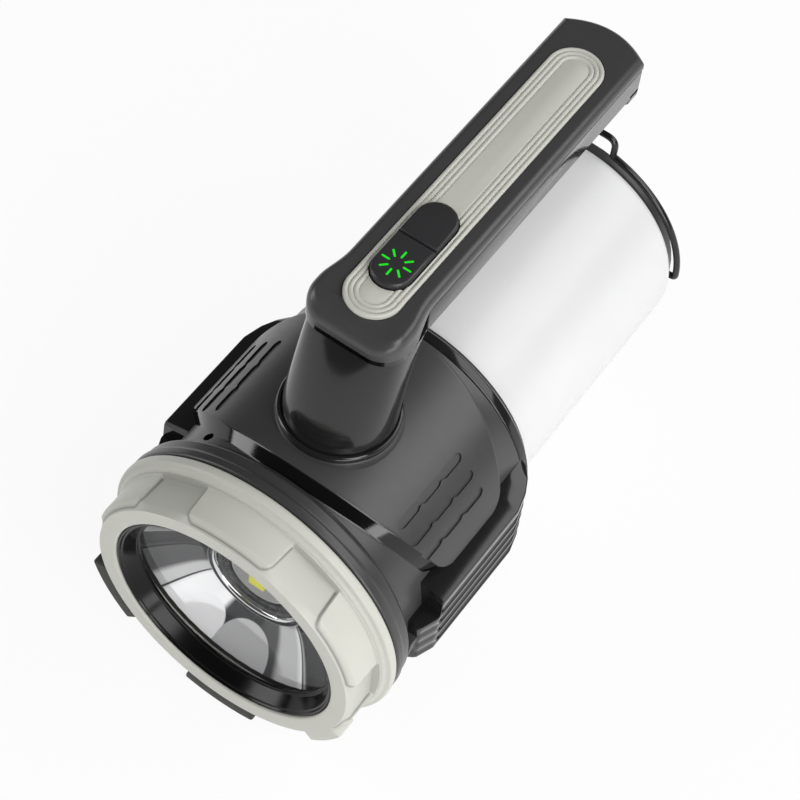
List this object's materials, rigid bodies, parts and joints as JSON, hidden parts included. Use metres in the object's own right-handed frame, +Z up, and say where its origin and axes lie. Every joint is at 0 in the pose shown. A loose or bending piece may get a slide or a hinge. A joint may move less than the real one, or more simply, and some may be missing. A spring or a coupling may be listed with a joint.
{
  "type": "portable_searchlight_lantern",
  "caption": "Portable searchlight with a fixed top handle, two push buttons, an opal lantern at its rear end and a folding wire hook",
  "frame": {"origin": "centre of the bounding box, on the plane of the rubber feet", "axes": "+Z up, the lamp's axis runs along Y, the front lens looks along -Y"},
  "size_m": [0.1012, 0.191, 0.1482],
  "materials": {
    "pale_grey": "fine satin texture",
    "satin_black": "satin",
    "gloss_black": "gloss",
    "rubber": "matte",
    "clear": "clear",
    "opal": "opal, light passes through",
    "mirror": "bright metallised",
    "steel": "satin",
    "alloy": "satin",
    "cell_sleeve": "shrink sleeve",
    "board": "solder mask",
    "phosphor": "matte",
    "white": "matte",
    "icon_green": "clear tinted",
    "coated_wire": "gloss"
  },
  "bodies": {
    "lamp": {"bezel": "pale_grey", "bezel_bumper_1": "rubber", "bezel_bumper_2": "rubber", "bezel_bumper_3": "rubber", "lens_retainer": "gloss_black", "front_lens": "clear", "lens_seal": "rubber", "reflector": "mirror", "led_board": "alloy", "led_collar": "mirror", "led_chip": "phosphor", "led_dome": "clear", "heat_sink": "alloy", "front_collar": "satin_black", "upper_shell": "satin_black", "lower_shell": "satin_black", "rubber_foot_left": "rubber", "rubber_foot_right": "rubber", "side_grip_left": "gloss_black", "side_grip_right": "gloss_black", "shell_screw_1": "steel", "shell_screw_2": "steel", "shell_screw_3": "steel", "shell_screw_4": "steel", "handle_screw_1": "steel", "handle_screw_2": "steel", "cap_screw_1": "steel", "cap_screw_2": "steel", "cap_screw_3": "steel", "rear_collar": "gloss_black", "diffuser_seal": "rubber", "diffuser": "opal", "lantern_board": "board", "lantern_led_ring": "phosphor", "light_spreader": "white", "rear_cap": "satin_black", "handle_frame": "gloss_black", "post_ring": "gloss_black", "handle_cover": "satin_black", "grip_inlay": "pale_grey", "button_board": "board", "power_switch": "steel", "mode_switch": "steel", "button_membrane": "rubber", "battery_cell_1": "cell_sleeve", "battery_cell_2": "cell_sleeve", "battery_tray": "white", "driver_board": "board", "driver_coil": "gloss_black", "driver_chip": "gloss_black", "charge_port": "steel"},
    "hook": {"bail": "coated_wire"},
    "power_key": {"power_button": "satin_black", "icon_light_guide": "icon_green"},
    "mode_key": {"mode_button": "satin_black"},
    "inlet_flap": {"port_cover": "rubber"}
  },
  "joints": [
    {"name": "hook_swing", "type": "hinge", "parent": "lamp", "child": "hook", "pos_m": [0, 0.0928, 0.053], "axis": [-1, 0, 0], "range_deg": [0, 180]},
    {"name": "power_press", "type": "slide", "parent": "lamp", "child": "power_key", "axis": [0, 0, -1], "range_m": [0, 0.0008], "stiffness_N_per_m": 600},
    {"name": "mode_press", "type": "slide", "parent": "lamp", "child": "mode_key", "axis": [0, 0, -1], "range_m": [0, 0.0008], "stiffness_N_per_m": 600},
    {"name": "inlet_flap_swing", "type": "hinge", "parent": "lamp", "child": "inlet_flap", "pos_m": [-0.0474, -0.0365, 0.0215], "axis": [0, -1, 0], "range_deg": [0, 110]}
  ]
}
